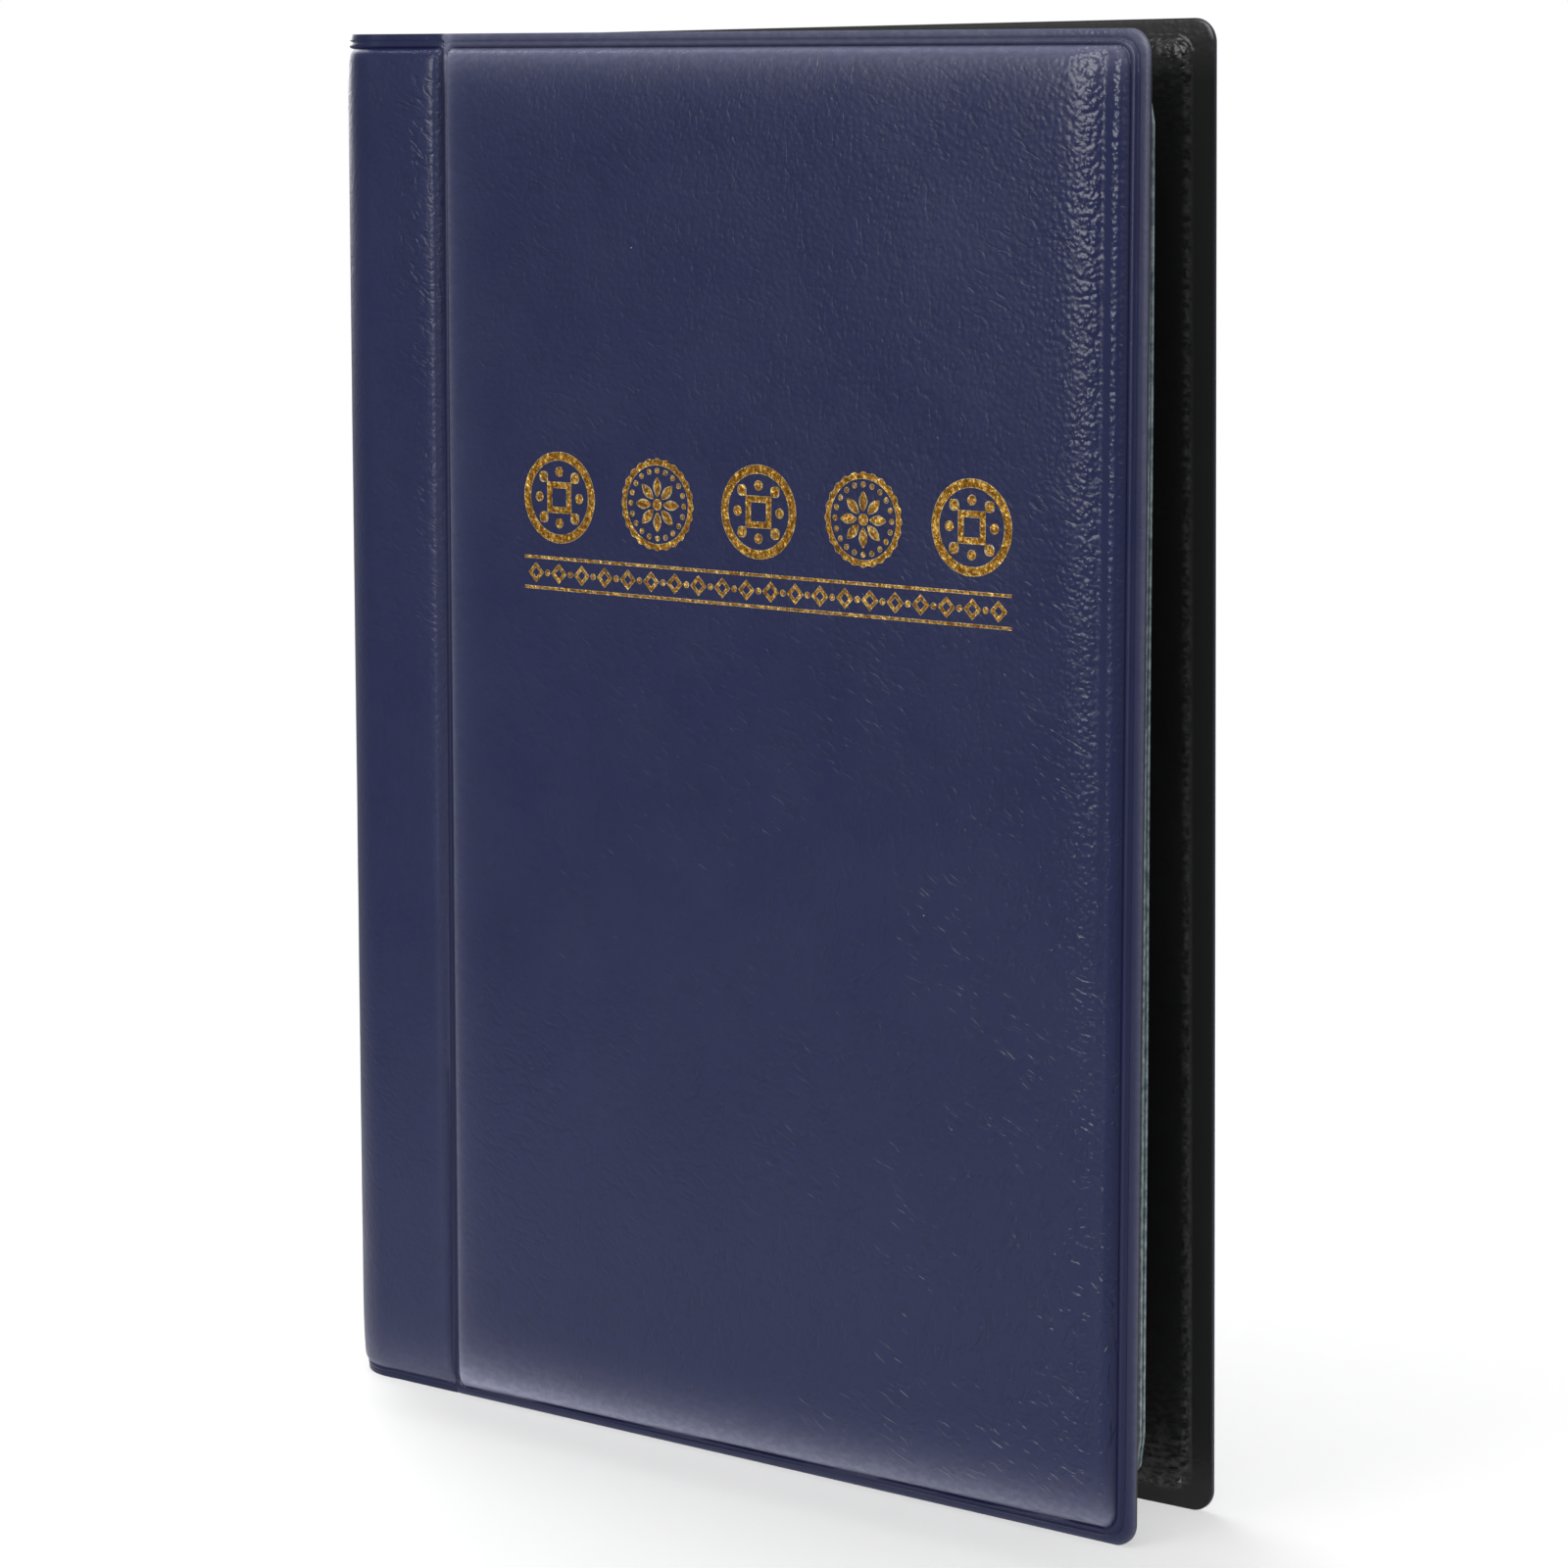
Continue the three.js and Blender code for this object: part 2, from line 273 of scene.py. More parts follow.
def round_corners(x, z, edge, low, high, radius):
    """Pulls the grid's square corners at one edge onto arcs."""
    u = np.clip((x - (edge - radius)) / radius, 0, None)
    v = np.clip(np.maximum(low + radius - z, z - (high - radius)) / radius, 0, None)
    size = np.hypot(u, v)
    scale = np.where((u > 0) & (v > 0), np.maximum(u, v) / np.maximum(size, 1e-9), 1.0)
    upward = np.where(z > (low + high) / 2, 1.0, -1.0)
    middle = np.where(z > (low + high) / 2, high - radius, low + radius)
    x = np.where(u > 0, edge - radius + u * scale * radius, x)
    z = np.where(v > 0, middle + upward * v * scale * radius, z)
    return x, z


# ---------------- relief of the two sheets


def steep(distance, width=0.5):
    """The wall of a padded area: 0 at its weld to 1 a little way in."""
    return 1 - np.exp(-((np.maximum(distance, 0) / width) ** 1.3))


def soft(distance, share, reach):
    """The pillowy shoulder behind one side of a padded area, as a factor of its height."""
    return 1 - share * np.exp(-np.maximum(distance, 0) / reach)


def near(distance, reach):
    """1 at an edge, fading inward."""
    return np.exp(-np.maximum(distance, 0) / reach)


def crown(distances, shoulders):
    """Height of a padded area as a share, which sinks towards its sides."""
    return math.prod(soft(distance, *shoulder) for distance, shoulder in zip(distances, shoulders))


def rim_pattern(edge, pad):
    """Relief of the welded rim: a flange, a fine line, a low ridge and a deeper line by the pad."""
    share = edge / np.maximum(edge - np.minimum(pad, 0), 1e-6)
    rise = np.clip((share - RIM_RIDGE_START) / RIM_RIDGE_SLOPE, 0, 1)
    fall = np.clip((RIM_RIDGE_END - share) / RIM_RIDGE_SLOPE, 0, 1)
    relief = RIM_RIDGE_HEIGHT * rise * fall - RIM_LINE_DEPTH * dent(share - RIM_LINE_PLACE, RIM_LINE_WIDTH)
    relief = relief - PAD_LINE_DEPTH * dent(share - PAD_LINE_PLACE, RIM_LINE_WIDTH)
    return np.where(pad <= 0, relief - EDGE_ROUNDING * near(edge, 0.2), 0.0)


soft_bumps = waves(11, 14, 34, 9)
fine_bumps = waves(12, 24, 5, 1.6)
edge_creases = waves(13, 40, 7, 2.4, stretch=3.5)
corner_creases = waves(14, 30, 9, 2.6, stretch=3.0)


def pad_sides(x, z):
    """Distances inside the four sides of a cover's pad: groove, fore-edge, bottom and top."""
    low = LOW_RIM + (RIM - LOW_RIM) * (x - PAD_X0) / (PAD_X1 - PAD_X0)
    return x - PAD_X0, PAD_X1 - x, z - low, HEIGHT - RIM - z


def pad_distance(x, z):
    """Distance inside a cover's pad, whose corners are tighter at the groove than at the fore-edge."""
    groove, fore, low, _ = pad_sides(x, z)
    corner = np.where(groove < fore, 1.1, 1.9)
    return inside_distance(x, z, PAD_X0, PAD_X1, z - low, HEIGHT - RIM, corner)


def edge_distance(x, z):
    return inside_distance(x, z, -FAR, FORE_EDGE, 0, HEIGHT, COVER_CORNER)


def fore_stretch(x, z):
    """Where the skin is stretched over the fore-edge of the padding, most of all near its top."""
    fore = PAD_X1 - x
    upward = 0.35 + 0.65 * smooth_step(z, 0.3 * HEIGHT, HEIGHT)
    smooth_crease = 1 - 0.9 * dent(fore - CREASE + 0.35, 0.7)
    return near(fore - 4.5, 3) * smooth_step(fore, 0, 1.5) * smooth_crease * upward


def cover_skin_out(x, z):
    """Height of a cover panel's outer face over the weld line, from the groove to the fore-edge."""
    pad = pad_distance(x, z)
    sides = pad_sides(x, z)
    _, fore, low, _ = sides
    height = FILM_OUT + (COVER_PAD_OUT - FILM_OUT) * steep(pad) * crown(sides, PANEL_SHOULDERS)
    upper = smooth_step(z, 0.1 * HEIGHT, HEIGHT)
    in_pad = np.clip(pad / 1.2, 0, 1)
    sunken = (FORE_SINK + FORE_SINK_ADDED * upper) * (1 - smooth_step(fore, CREASE, CREASE + FORE_SINK_REACH))
    crease = (CREASE_DEPTH + CREASE_DEPTH_ADDED * upper) * dent(fore - CREASE, CREASE_WIDTH)
    ridge = FORE_RIDGE_HEIGHT * dent(fore - FORE_RIDGE_PLACE, FORE_RIDGE_WIDTH)
    low_right = near(fore, 35) * near(low, 45)
    wrinkles = EDGE_CREASES * fore_stretch(x, z) * edge_creases(x, z)
    wrinkles = wrinkles + CORNER_CREASES * low_right * corner_creases(x, z)
    bumps = PANEL_SWELL * soft_bumps(x, z) + FINE_RELIEF * fine_bumps(x, z)
    inside = np.clip(pad / 3, 0, 1)
    rim = rim_pattern(edge_distance(x, z), pad)
    return height - in_pad * (sunken + crease - ridge) + inside * (wrinkles + bumps) + rim


def band_skin_out(along, z):
    """The same for the spine and a band, by the distance along the weld line from the back of the spine."""
    to_groove = QUARTER_BEND + BAND_PAD_END - SPINE_CENTRE - along
    low, top = z - LOW_RIM, HEIGHT - RIM - z
    pad = inside_distance(along, z, -FAR, along + to_groove, LOW_RIM, HEIGHT - RIM, 0.8)
    rise = np.where(z < HEIGHT / 2, LOW_SPINE_RISE, TOP_SPINE_RISE)
    film = FILM_OUT + rise * (1 - smooth_step(along, 0.3 * QUARTER_BEND, 1.2 * QUARTER_BEND))
    height = film + (BAND_PAD_OUT - film) * steep(pad, 0.4) * crown((to_groove, low, top), BAND_SHOULDERS)
    upper = smooth_step(z, 0.35 * HEIGHT, 0.8 * HEIGHT) * np.clip(top, 0, 1)
    bead = BEAD_HEIGHT * upper * dent(to_groove - BEAD_PLACE, BEAD_WIDTH)
    bumps = BAND_SWELL * soft_bumps(along * 1.4 + 40, z) + FINE_RELIEF * fine_bumps(along + 40, z)
    inside = np.clip(pad / 3, 0, 1)
    return height + bead + inside * bumps + BAND_RIM_SHARE * rim_pattern(np.minimum(z, HEIGHT - z), pad)


def outer_out(x, z):
    """Outer face of the sheet over the flat part of the cover, on both sides of the groove."""
    band = band_skin_out(QUARTER_BEND + x - SPINE_CENTRE, z)
    out = np.where(x < GROOVE_X, band, cover_skin_out(x, z))
    between_rims = smooth_step(np.minimum(z, HEIGHT - z), 1.2, 3.0)
    fill = (GROOVE_FILL - GROOVE_FILL_LOST * z / HEIGHT) * between_rims * dent(x - GROOVE_X, GROOVE_WIDTH)
    line = GROOVE_LINE_DEPTH * dent(x - GROOVE_X, GROOVE_LINE_WIDTH)
    return np.maximum(out, FILM_OUT - GROOVE_CLEAR + fill) - line


def skin_under(out, pad):
    """The skin's other face: a sheet's thickness behind the first, and down at the weld on the rims."""
    return LAP + np.maximum(out - SKIN - LAP, 0) * np.clip(pad / 0.3, 0, 1)


def lining_pad(x, z):
    return inside_distance(x, z, PAD_X0, PAD_X1, RIM, HEIGHT - RIM, 2.6)


def cover_lining_in(x, z):
    """Depth of the lining's inner face behind the weld line."""
    pad = lining_pad(x, z)
    share = crown(pad_sides(x, z)[1:], LINING_SHOULDERS)
    depth = FILM_IN + (COVER_PAD_IN - FILM_IN) * steep(pad, 1.1) * share
    bumps = LINING_SWELL * soft_bumps(x + 300, z) + LINING_GRAIN * fine_bumps(x, z)
    bumps = bumps + LINING_CREASES * corner_creases(x + 200, z)
    return depth + np.clip(pad / 3, 0, 1) * bumps - 0.08 * near(edge_distance(x, z), 0.15)


def flat_place(x, out, z, side):
    """A point of a band or cover by its height over the weld line. Side 1 is the front, -1 the back. The
    back cover is a little askew: it stands out at the foot of its fore-edge, and up at the top."""
    askew = np.clip((x - GROOVE_X) / (FORE_EDGE - GROOVE_X), 0, 1) * (side < 0)
    out = out + askew * BACK_SPLAY * (1 - z / HEIGHT)
    return np.stack([x, -side * (WELD_RADIUS + out), z + askew * BACK_LIFT * z / HEIGHT], -1)


def bent_place(along, out, z, side):
    """A point by its distance along the weld line from the back of the spine. Side 1 is the front half."""
    turn = np.minimum(along, QUARTER_BEND) / WELD_RADIUS
    beyond = np.maximum(along - QUARTER_BEND, 0)
    radius = WELD_RADIUS + out
    x = SPINE_CENTRE - radius * np.cos(turn) + beyond
    return np.stack([x, -side * radius * np.sin(turn), z], -1)


HEIGHT_DETAILS = (0, 0.9, RIM, HEIGHT - RIM, HEIGHT - 0.9, HEIGHT)
Z_STATIONS = stations(0, HEIGHT, HEIGHT_DETAILS, fine=0.16)


def cover_grid():
    details = (GROOVE_X, PAD_X0, PAD_X1, PAD_X1 - CREASE, FORE_EDGE - 1.35, FORE_EDGE)
    x, z = np.meshgrid(stations(MID_BAND, FORE_EDGE, details, fine=0.16), Z_STATIONS, indexing="ij")
    return round_corners(x, z, FORE_EDGE, 0, HEIGHT, COVER_CORNER)


def bend_grid(reach, rows):
    length = QUARTER_BEND + reach - SPINE_CENTRE
    return np.meshgrid(np.linspace(0, length, math.ceil(length / 0.4)), rows, indexing="ij")


# ---------------- baking pieces in place, where the cover would bend

FOLD_REACH = 4.0


def bend_at_spine(piece, side):
    """Bakes a piece's placement into its mesh. The fold line where a band joins the spine is worked out, but
    nothing is bent.
    """
    half = math.sqrt(0.5)
    place = np.array([SPINE_CENTRE, 0, 0]) - (WELD_RADIUS + BAND_PAD_OUT) * half * np.array([1, side, 0])
    across = half * np.array([1.0, -side, 0])
    start, end = (place - FOLD_REACH * across) * MM, (place + FOLD_REACH * across) * MM
    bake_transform(piece)
    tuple(start)
    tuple(end)


def bend_at_groove(piece):
    """Bakes a piece's placement into its mesh; nothing is bent along the groove between a band and its cover.
    """
    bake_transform(piece)


# ---------------- skin, lining and foam


def pressed_rim(pad, z):
    """1 where the skin is welded flat, less along the top, where it is paler."""
    return (1 - smooth_step(pad, -0.1, 0.4)) * (1 - 0.4 * smooth_step(z, HEIGHT - RIM - 6, HEIGHT - RIM))


def band_marks(to_groove, z):
    """What the material reads on the spine and the bands: how far the skin is pressed flat, where it gets a
    painted highlight (a paler tone for light on its rounded edges), stretched over an edge and wrinkled."""
    pad = np.minimum(z - LOW_RIM, HEIGHT - RIM - z)
    rim = pressed_rim(np.minimum(pad, to_groove + 0.3), z)
    # Painted highlight: a paler tone at the foot of the padding and beside the groove, where its rounded
    # edges catch the light.
    sheen_share = 0.28 * near(z - LOW_RIM, 2.5) + 0.1 * near(to_groove, 0.8)
    upper = smooth_step(z, 0.3 * HEIGHT, 0.9 * HEIGHT)
    stretch = 0.25 * near(to_groove, 0.5) * upper
    wrinkle = 0.7 * dent(to_groove - 2.5, 3) * upper
    return {"rim": rim, "painted_sheen": (1 - rim) * sheen_share, "stretch": stretch, "wrinkle": wrinkle}


def panel_marks(x, z):
    """The same on a cover panel."""
    groove, fore, low, top = pad_sides(x, z)
    rim = pressed_rim(pad_distance(x, z), z)
    left = 0.5 + 0.5 * near(groove, 45)
    # Painted highlight: a paler tone along the padding's foot (strongest towards the groove), its top, its
    # groove side and the rim's rolled outer edge, where rounded edges catch the light.
    sheen_share = 1.4 * left * near(low - 0.3, 2.1) + 0.42 * near(top - 0.3, 1.8)
    sheen_share = sheen_share + 0.6 * near(groove - 0.4, 0.5) + 0.12 * near(groove, 2.5)
    edge = 0.22 * near(edge_distance(x, z), 0.35)
    stretch = fore_stretch(x, z) + 0.1 * near(top, 25)
    wrinkle = np.clip(1.6 * near(fore, 45) * near(low, 60), 0, 1)
    painted_sheen = np.clip((1 - rim) * sheen_share, 0, 1) + edge
    return {"rim": rim, "painted_sheen": painted_sheen, "stretch": stretch, "wrinkle": wrinkle}


def cover_sheet(name, side, material):
    """Skin from the middle of a band over the groove to the fore-edge."""
    x, z = cover_grid()
    out = outer_out(x, z)
    band_pad = np.minimum(BAND_PAD_END - x, np.minimum(z - LOW_RIM, HEIGHT - RIM - z))
    pad = np.maximum(pad_distance(x, z), band_pad)
    on_band, on_panel = band_marks(BAND_PAD_END - x, z), panel_marks(x, z)
    marks = {key: np.where(x < GROOVE_X, on_band[key], on_panel[key]) for key in on_band}
    outer, inner = flat_place(x, out, z, side), flat_place(x, skin_under(out, pad), z, side)
    piece = grid_shell(f"{name}_cover_sheet", outer, inner, material, marks=marks)
    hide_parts(f"{name}_cover_skin", f"{name}_band_skin")
    bend_at_groove(piece)


def corner_sheet(name, side, material):
    """Skin from the back of the spine round the bend to the middle of a band."""
    along, z = bend_grid(MID_BAND, Z_STATIONS)
    out = band_skin_out(along, z)
    pad = np.minimum(z - LOW_RIM, HEIGHT - RIM - z)
    marks = band_marks(QUARTER_BEND + BAND_PAD_END - SPINE_CENTRE - along, z)
    outer, inner = bent_place(along, out, z, side), bent_place(along, skin_under(out, pad), z, side)
    piece = grid_shell(f"{name}_corner_sheet", outer, inner, material, marks=marks)
    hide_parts("spine_skin", f"{name}_band_skin")
    bend_at_spine(piece, side)


def cover_lining(name, side, material):
    """Lining from the middle of a band over the groove to the fore-edge."""
    x, z = cover_grid()
    depth = np.where(x < GROOVE_X, FILM_IN, cover_lining_in(x, z))
    above = np.maximum(np.minimum(depth, COVER_PAD_IN) - LINING, LAP)
    pad = lining_pad(x, z)
    _, fore, low, top = pad_sides(x, z)
    # Painted highlight: paler patches on the lining's padding near its rim, foot and top, standing for glints
    # of light on its grain.
    sheen_share = 0.5 * dent(pad - 0.7, 0.45) + 0.8 * near(low - 1, 5) + 0.4 * near(top - 1, 4)
    stretch = 0.7 * dent(pad - 0.8, 0.7) + 1.2 * near(low - 1, 9) + near(top - 1, 5) * near(fore, 12)
    marks = {
        "rim": 1 - smooth_step(pad, -0.1, 0.5),
        "painted_sheen": sheen_share * np.clip(pad, 0, 1),
        "stretch": stretch,
        "wrinkle": near(low, 12),
    }
    outer, inner = flat_place(x, -above, z, side), flat_place(x, -depth, z, side)
    piece = grid_shell(f"{name}_cover_inner_sheet", outer, inner, material, marks=marks)
    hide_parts(f"{name}_cover_lining", f"{name}_band_lining")
    bend_at_groove(piece)


def corner_lining(name, side, material):
    """Lining from the back of the spine round the bend to the middle of a band."""
    along, z = bend_grid(MID_BAND, Z_STATIONS)
    rim = 1 - smooth_step(np.minimum(z, HEIGHT - z), RIM, RIM + 0.5)
    marks = {"rim": rim, "painted_sheen": 0 * z, "stretch": 0 * z, "wrinkle": 0 * z}
    outer = bent_place(along, np.full_like(z, -LAP), z, side)
    inner = bent_place(along, np.full_like(z, -FILM_IN), z, side)
    piece = grid_shell(f"{name}_corner_inner_sheet", outer, inner, material, marks=marks)
    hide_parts("spine_lining", f"{name}_band_lining")
    bend_at_spine(piece, side)


def foam_rows():
    """Rows for hidden foam, a little inside the welds at the bottom and top."""
    low, high = RIM + FOAM_MARGIN, HEIGHT - RIM - FOAM_MARGIN
    return stations(low, high, (low, high), fine=0.4, coarse=3.0)


def corner_foam(name, side, material):
    """Foam under the skin of half the spine and a band."""
    along, z = bend_grid(BAND_PAD_END - FOAM_MARGIN, foam_rows())
    outer = bent_place(along, band_skin_out(along, z) - SKIN - FOAM_PLAY, z, side)
    inner = bent_place(along, np.full_like(z, LAP + FOAM_PLAY), z, side)
    piece = grid_shell(f"{name}_corner_foam", outer, inner, material)
    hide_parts("spine_foam", f"{name}_band_foam")
    bend_at_spine(piece, side)


def cover_foam(name, side, material):
    """Foam between a cover's board and its skin."""
    low, high = PAD_X0 + FOAM_MARGIN, PAD_X1 - FOAM_MARGIN
    columns = stations(low, high, (low, high), fine=0.4, coarse=3.0)
    x, z = np.meshgrid(columns, foam_rows(), indexing="ij")
    board_low, board_high = corners(f"{name}_cover_board")
    board_face = max(abs(board_low[1]), abs(board_high[1])) - WELD_RADIUS
    base = np.full_like(x, board_face + FOAM_PLAY)
    out = np.maximum(cover_skin_out(x, z) - SKIN - FOAM_PLAY, base + FOAM_PLAY)
    outer, inner = flat_place(x, out, z, side), flat_place(x, base, z, side)
    piece = grid_shell(f"{name}_cover_pad", outer, inner, material)
    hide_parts(f"{name}_cover_foam")
    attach(piece, f"{name}_cover")


def cover_board(name, side, material):
    """Stiff board of a cover, where the CAD solid has it."""
    low, high = corners(f"{name}_cover_board")
    depths = np.sort(np.abs([low[1], high[1]])) - WELD_RADIUS
    columns, rows = np.linspace(low[0], high[0], 12), np.linspace(low[2], high[2], 18)
    x, z = np.meshgrid(columns, rows, indexing="ij")
    outer, inner = (flat_place(x, np.full_like(x, depth), z, side) for depth in depths[::-1])
    piece = grid_shell(f"{name}_board", outer, inner, material)
    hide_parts(f"{name}_cover_board")
    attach(piece, f"{name}_cover")


# ---------------- leaves


LEAF_LOW, LEAF_HIGH = corners("leaf_01_backing_film")
LEAF_X0, LEAF_Z0 = LEAF_LOW[0], LEAF_LOW[2]
LEAF_X1, LEAF_Z1 = LEAF_HIGH[0], LEAF_HIGH[2]
BLOCK_FRONT = corners("binding_block")[1][0]
FIRST_COLUMN = LEAF_X1 - LEAF_BORDER - COLUMNS * POCKET_WIDTH
POCKETS_X0 = FIRST_COLUMN - 2.0
ROW_HEIGHT = (LEAF_Z1 - LEAF_Z0 - 2 * LEAF_BORDER) / ROWS
MOUTH_SIDE = (POCKET_WIDTH - MOUTH_WIDTH) / 2
WELD_LINE = 0.9  # width of a weld between pockets
MOUTH_LIP = 0.7  # how far a slit gapes
SHARED_SWAY = 0.25  # how far the leaves stray from flat together, and each by itself
OWN_SWAY = 0.05
FILM_GAP = 0.01  # from the middle of a leaf to each film at a weld
BACK_BULGE = 0.035  # what a pocket adds to that, behind and in front
FRONT_BULGE = 0.09


def subdivided(lines, coarse):
    """The given places, with evenly spaced ones between them no further apart than coarse."""
    places = []
    for a, b in zip(lines, lines[1:]):
        places.extend(np.linspace(a, b, max(1, math.ceil((b - a) / coarse)), endpoint=False))
    return np.array([*places, lines[-1]])


def leaf_columns():
    lines = [BLOCK_FRONT + 0.1, LEAF_X0, POCKETS_X0]
    for n in range(COLUMNS):
        line = FIRST_COLUMN + n * POCKET_WIDTH
        lines += [line - WELD_LINE / 2, line + WELD_LINE / 2, line + 1.2, line + MOUTH_SIDE]
        lines += [line + POCKET_WIDTH - MOUTH_SIDE, line + POCKET_WIDTH - 1.2]
    lines += [LEAF_X1 - LEAF_BORDER - WELD_LINE / 2, LEAF_X1 - 0.5, LEAF_X1]
    return subdivided(lines, 4)


def leaf_rows():
    lines = [LEAF_Z0]
    for n in range(ROWS):
        line = LEAF_Z0 + LEAF_BORDER + n * ROW_HEIGHT
        mouth = line + ROW_HEIGHT - MOUTH_DROP
        lines += [line - WELD_LINE / 2, line + WELD_LINE / 2, line + 1.2, mouth - MOUTH_LIP, mouth]
        lines += [line + ROW_HEIGHT - 1.2]
    lines += [LEAF_Z1 - LEAF_BORDER - WELD_LINE / 2, LEAF_Z1 - 0.5, LEAF_Z1]
    return subdivided(lines, 4)


def pocket_bulge(x, z):
    """0 at the welds to 1 in the middle of a pocket."""
    u = (x - FIRST_COLUMN) / POCKET_WIDTH
    v = (z - LEAF_Z0 - LEAF_BORDER) / ROW_HEIGHT
    across = np.minimum(u % 1, 1 - u % 1) * POCKET_WIDTH - WELD_LINE / 2
    upward = np.minimum(v % 1, 1 - v % 1) * ROW_HEIGHT - WELD_LINE / 2
    rise = (1 - near(across, 0.8)) * (1 - near(upward, 0.8))
    return np.where((u > 0) & (u < COLUMNS) & (v > 0) & (v < ROWS), rise, 0)


def in_mouth(x, z):
    """Which places are in a slit of the pocket film."""
    u = (x - FIRST_COLUMN) % POCKET_WIDTH
    v = (z - LEAF_Z0 - LEAF_BORDER) % ROW_HEIGHT
    on_column = (x > FIRST_COLUMN) & (u > MOUTH_SIDE) & (u < POCKET_WIDTH - MOUTH_SIDE)
    top = ROW_HEIGHT - MOUTH_DROP
    return on_column & (v > top - MOUTH_LIP) & (v < top) & (z < LEAF_Z1 - LEAF_BORDER)


shared_sway = waves(199, 6, 160, 60)


def leaf(number, material):
    """A leaf: the backing film from the block to the fore-edge, and the pocket film welded on its front."""
    name = f"leaf_{number:02d}"
    y = (corners(f"{name}_backing_film")[0][1] + corners(f"{name}_pocket_film")[1][1]) / 2
    own_sway = waves(200 + number, 8, 120, 40)
    x, z = np.meshgrid(leaf_columns(), leaf_rows(), indexing="ij")
    x, z = round_corners(x, z, LEAF_X1, LEAF_Z0, LEAF_Z1, LEAF_CORNER)
    free = np.clip((x - LEAF_X0) / (LEAF_X1 - LEAF_X0), 0, 1) ** 1.5
    middle = y + free * (SHARED_SWAY * shared_sway(x, z) + OWN_SWAY * own_sway(x, z))
    bulge = pocket_bulge(x, z)
    border = inside_distance(x, z, -FAR, LEAF_X1, LEAF_Z0, LEAF_Z1, LEAF_CORNER)
    hung_x = x - free * LEAF_DROOP * (z - LEAF_Z0) / (LEAF_Z1 - LEAF_Z0)
    hung_z = z - 0.6 * free * LEAF_DROOP
    marks = {"weld": np.maximum(1 - smooth_step(bulge, 0, 0.4), near(border, 0.5))}

    def place(offset):
        return np.stack([hung_x, middle + offset, hung_z], -1)

    gap = FILM_GAP + BACK_BULGE * bulge
    backing = grid_shell(f"{name}_backing", place(gap), place(gap + FILM - 0.02), material, marks=marks)
    middles = [(v[:-1, :-1] + v[1:, 1:]) / 2 for v in (x, z)]
    keep = (middles[0] > POCKETS_X0) & ~in_mouth(*middles)
    front = -FILM_GAP - FRONT_BULGE * bulge
    pockets = grid_shell(f"{name}_pockets", place(front), place(front - FILM + 0.05), material, keep, marks)
    for piece, node in ((backing, "backing_film"), (pockets, "pocket_film")):
        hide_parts(f"{name}_{node}")
    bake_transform(backing)
    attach(pockets, name)


# ---------------- gold foil on the front cover

FOIL_ROW_X = (-28.5, 45.4)  # where the row of roundels and the band below it begin and end
FOIL_ROUNDELS = 5
ROUNDEL_RADIUS = 5.7
ROUNDEL_Z = 118.0
BAND_Z = (106.4, 110.6)
LOZENGES = 20
FOIL_RAISE = 0.03
FOIL_EDGE = 0.1  # width of a strip's pale edge
RULE_HALF = 0.2  # half the width of the band's rules


def foil_patch(x, z):
    """Outer and inner points of a strip of foil laid on the padding, and 1 along its two long edges."""
    out = cover_skin_out(x, z)
    edge = np.zeros_like(x)
    edge[:, 0] = edge[:, -1] = 1
    return flat_place(x, out + FOIL_RAISE, z, 1), flat_place(x, out - FOIL_RAISE / 2, z, 1), edge


def foil_strip(inner, outer, centre, turns):
    """A closed strip between two outlines, each given as its radius at every turn."""
    depth = np.clip(FOIL_EDGE / np.maximum(outer - inner, 1e-6), 0, 0.4)
    shares = np.stack([0 * depth, depth, 0.5 + 0 * depth, 1 - depth, 1 + 0 * depth], -1)
    radius = inner[:, None] + shares * (outer - inner)[:, None]
    x = centre[0] + radius * np.cos(turns)[:, None]
    return foil_patch(x, centre[1] + radius * np.sin(turns)[:, None])


def foil_piece(name, strips, material):
    """One piece of foil made of many closed or open strips."""
    points, faces, edges, count = [], [], [], 0
    for outer, inner, edge in strips:
        n, m = edge.shape
        ids = np.arange(n * m).reshape(n, m) + count
        under = n * m
        a, b, c, d = ids[:-1, :-1], ids[1:, :-1], ids[1:, 1:], ids[:-1, 1:]
        faces.append(np.stack([a, b, c, d], -1).reshape(-1, 4))
        faces.append(np.stack([d, c, b, a], -1).reshape(-1, 4) + under)
        for line in (ids[:, 0], ids[::-1, -1], ids[0, ::-1], ids[-1, :]):
            faces.append(np.stack([line[:-1], line[1:], line[1:] + under, line[:-1] + under], -1))
        points += [outer.reshape(-1, 3), inner.reshape(-1, 3)]
        edges += [edge.ravel(), edge.ravel()]
        count += 2 * under
    marks = {"edge": np.concatenate(edges)}
    piece = mesh_object(name, np.concatenate(points) * MM, np.concatenate(faces), material, marks)
    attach(piece, "front_cover")


def full_turn(steps):
    """Angles once round, with a hair's gap so that the strip's two ends stay apart."""
    return np.linspace(0, 2 * math.pi - 0.002, steps)


def ring(centre, inner, outer, steps=72):
    turns = full_turn(steps)
    return foil_strip(np.full(steps, inner), np.full(steps, outer), centre, turns)


def disc(centre, radius, steps=20):
    return ring(centre, 0.02, radius, steps)


def square_frame(centre, inner, outer, turned=0.0, steps=65):
    turns = full_turn(steps)
    reach = 1 / np.maximum(np.abs(np.cos(turns - turned)), np.abs(np.sin(turns - turned)))
    return foil_strip(inner * reach, outer * reach, centre, turns)


def around(centre, radius, count, start=0.0):
    """Places evenly spaced on a circle, with their angles."""
    for n in range(count):
        turn = start + 2 * math.pi * n / count
        yield (centre[0] + radius * math.cos(turn), centre[1] + radius * math.sin(turn)), turn


